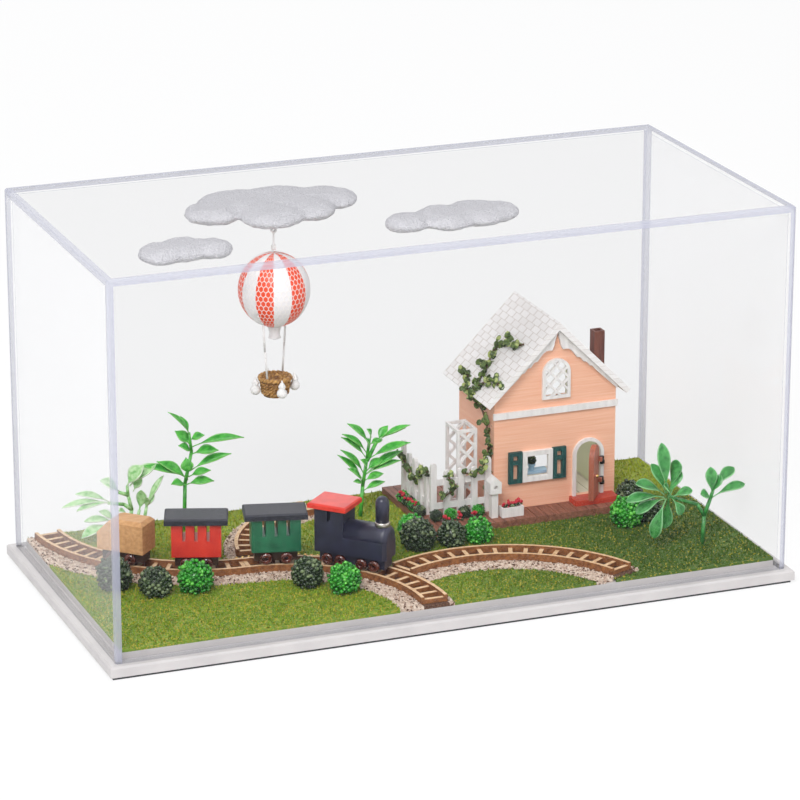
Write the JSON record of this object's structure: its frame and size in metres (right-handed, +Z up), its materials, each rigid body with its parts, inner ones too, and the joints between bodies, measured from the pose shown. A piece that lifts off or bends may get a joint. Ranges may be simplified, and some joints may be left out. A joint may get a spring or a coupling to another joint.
{
  "type": "display case",
  "caption": "Clear lift-off display case over a base tray with a railway garden scene: train on a curved track, gabled house, hanging balloon, clouds and plants.",
  "frame": {"origin": "middle of the underside of the mat, on the surface the case stands on", "axes": "+X to the right as seen from the front, -Y towards the viewer, +Z up"},
  "size_m": [0.24, 0.12, 0.131],
  "materials": {
    "mat_rubber": "matte",
    "tray_plastic": "satin moulded",
    "clear_plastic": "clear polished",
    "turf": "fibrous",
    "gravel": "loose",
    "track_wood": "laser cut",
    "navy_wood": "painted",
    "red_wood": "painted",
    "green_wood": "painted",
    "dark_wood": "painted",
    "bare_wood": "sanded",
    "bead_plastic": "polished",
    "wall_wood": "stained",
    "white_wood": "painted",
    "shutter_wood": "painted",
    "door_wood": "stained",
    "step_wood": "painted",
    "hinge_metal": "aged",
    "deck_wood": "stained",
    "dark_foliage": "foam",
    "bright_foliage": "foam",
    "leaf_plastic": "moulded",
    "ivy_leaf": "matte",
    "flower_red": "matte",
    "cloud_foam": "granular foam",
    "thread_cord": "twisted",
    "balloon_cloth": "sewn gores under a net",
    "white_cloth": "woven",
    "wicker": "woven"
  },
  "bodies": {
    "base": {"underside_mat": "mat_rubber", "base_tray": "tray_plastic", "ballast_bed": "gravel", "turf_sheets": "turf", "main_track": "track_wood", "branch_track": "track_wood", "rear_track": "track_wood", "loco_frame": "navy_wood", "loco_boiler": "navy_wood", "loco_cab": "navy_wood", "loco_cab_roof": "red_wood", "loco_chimney": "navy_wood", "green_coach_body": "green_wood", "green_coach_roof": "dark_wood", "red_coach_body": "red_wood", "red_coach_roof": "dark_wood", "wagon_body": "bare_wood", "house_front_wall": "wall_wood", "house_side_walls": "wall_wood", "window_plant": "dark_foliage", "roof_panels": "white_wood", "bargeboards": "white_wood", "string_course": "white_wood", "window_frames": "white_wood", "shutters": "shutter_wood", "door_frame": "white_wood", "door_hinges": "hinge_metal", "door_step": "step_wood", "house_chimney": "deck_wood", "deck": "deck_wood", "fence": "white_wood", "arbour": "white_wood", "birdhouse": "white_wood", "flower_box": "white_wood", "flowers": "flower_red", "bushes_dark": "dark_foliage", "bushes_bright": "bright_foliage", "plastic_plants": "leaf_plastic", "ivy": "ivy_leaf"},
    "cover": {"clear_cover": "clear_plastic", "cloud_large": "cloud_foam", "cloud_left": "cloud_foam", "cloud_right": "cloud_foam"},
    "thread": {"hanging_thread": "thread_cord"},
    "balloon": {"balloon_envelope": "balloon_cloth", "balloon_neck": "white_cloth", "basket": "wicker", "basket_ropes": "white_cloth", "sandbags": "white_cloth"},
    "door": {"door_leaf": "door_wood"},
    "loco_wheelset_1": {"loco_axle_1": "bead_plastic"},
    "loco_wheelset_2": {"loco_axle_2": "bead_plastic"},
    "loco_wheelset_3": {"loco_axle_3": "bead_plastic"},
    "loco_wheelset_4": {"loco_axle_4": "bead_plastic"},
    "green_coach_wheelset_1": {"green_coach_axle_1": "bead_plastic"},
    "green_coach_wheelset_2": {"green_coach_axle_2": "bead_plastic"},
    "red_coach_wheelset_1": {"red_coach_axle_1": "bead_plastic"},
    "red_coach_wheelset_2": {"red_coach_axle_2": "bead_plastic"},
    "wagon_wheelset_1": {"wagon_axle_1": "bead_plastic"},
    "wagon_wheelset_2": {"wagon_axle_2": "bead_plastic"}
  },
  "joints": [
    {"name": "cover_lift", "type": "slide", "parent": "base", "child": "cover", "axis": [0, 0, 1], "range_m": [0, 0.085]},
    {"name": "thread_swing", "type": "hinge", "parent": "cover", "child": "thread", "pos_m": [-0.0404, 0.008, 0.1217], "axis": [0, 1, 0], "range_deg": [-20, 20]},
    {"name": "balloon_sway", "type": "hinge", "parent": "thread", "child": "balloon", "pos_m": [-0.0404, 0.008, 0.1158], "axis": [1, 0, 0], "range_deg": [-15, 15]},
    {"name": "door_swing", "type": "hinge", "parent": "base", "child": "door", "pos_m": [0.0813, 0.0131, 0.0208], "axis": [0, 0, 1], "range_deg": [-54, 46]},
    {"name": "loco_wheels_1", "type": "hinge", "parent": "base", "child": "loco_wheelset_1", "pos_m": [-0.02724, -0.01059, 0.01275], "axis": [0.723, 0.6909, 0], "continuous": true},
    {"name": "loco_wheels_2", "type": "hinge", "parent": "base", "child": "loco_wheelset_2", "pos_m": [-0.02399, -0.01399, 0.01275], "axis": [0.723, 0.6909, 0], "continuous": true},
    {"name": "loco_wheels_3", "type": "hinge", "parent": "base", "child": "loco_wheelset_3", "pos_m": [-0.01861, -0.01963, 0.01275], "axis": [0.723, 0.6909, 0], "continuous": true},
    {"name": "loco_wheels_4", "type": "hinge", "parent": "base", "child": "loco_wheelset_4", "pos_m": [-0.01536, -0.02303, 0.01275], "axis": [0.723, 0.6909, 0], "continuous": true},
    {"name": "green_coach_wheels_1", "type": "hinge", "parent": "base", "child": "green_coach_wheelset_1", "pos_m": [-0.04805, -0.00213, 0.01275], "axis": [0.2538, 0.9673, 0], "continuous": true},
    {"name": "green_coach_wheels_2", "type": "hinge", "parent": "base", "child": "green_coach_wheelset_2", "pos_m": [-0.04147, -0.00385, 0.01275], "axis": [0.2538, 0.9673, 0], "continuous": true},
    {"name": "red_coach_wheels_1", "type": "hinge", "parent": "base", "child": "red_coach_wheelset_1", "pos_m": [-0.07398, 0.00292, 0.01275], "axis": [0.3371, 0.9415, 0], "continuous": true},
    {"name": "red_coach_wheels_2", "type": "hinge", "parent": "base", "child": "red_coach_wheelset_2", "pos_m": [-0.06758, 0.00063, 0.01275], "axis": [0.3371, 0.9415, 0], "continuous": true},
    {"name": "wagon_wheels_1", "type": "hinge", "parent": "base", "child": "wagon_wheelset_1", "pos_m": [-0.09364, 0.01701, 0.01275], "axis": [0.7022, 0.712, 0], "continuous": true},
    {"name": "wagon_wheels_2", "type": "hinge", "parent": "base", "child": "wagon_wheelset_2", "pos_m": [-0.0888, 0.01224, 0.01275], "axis": [0.7022, 0.712, 0], "continuous": true}
  ]
}
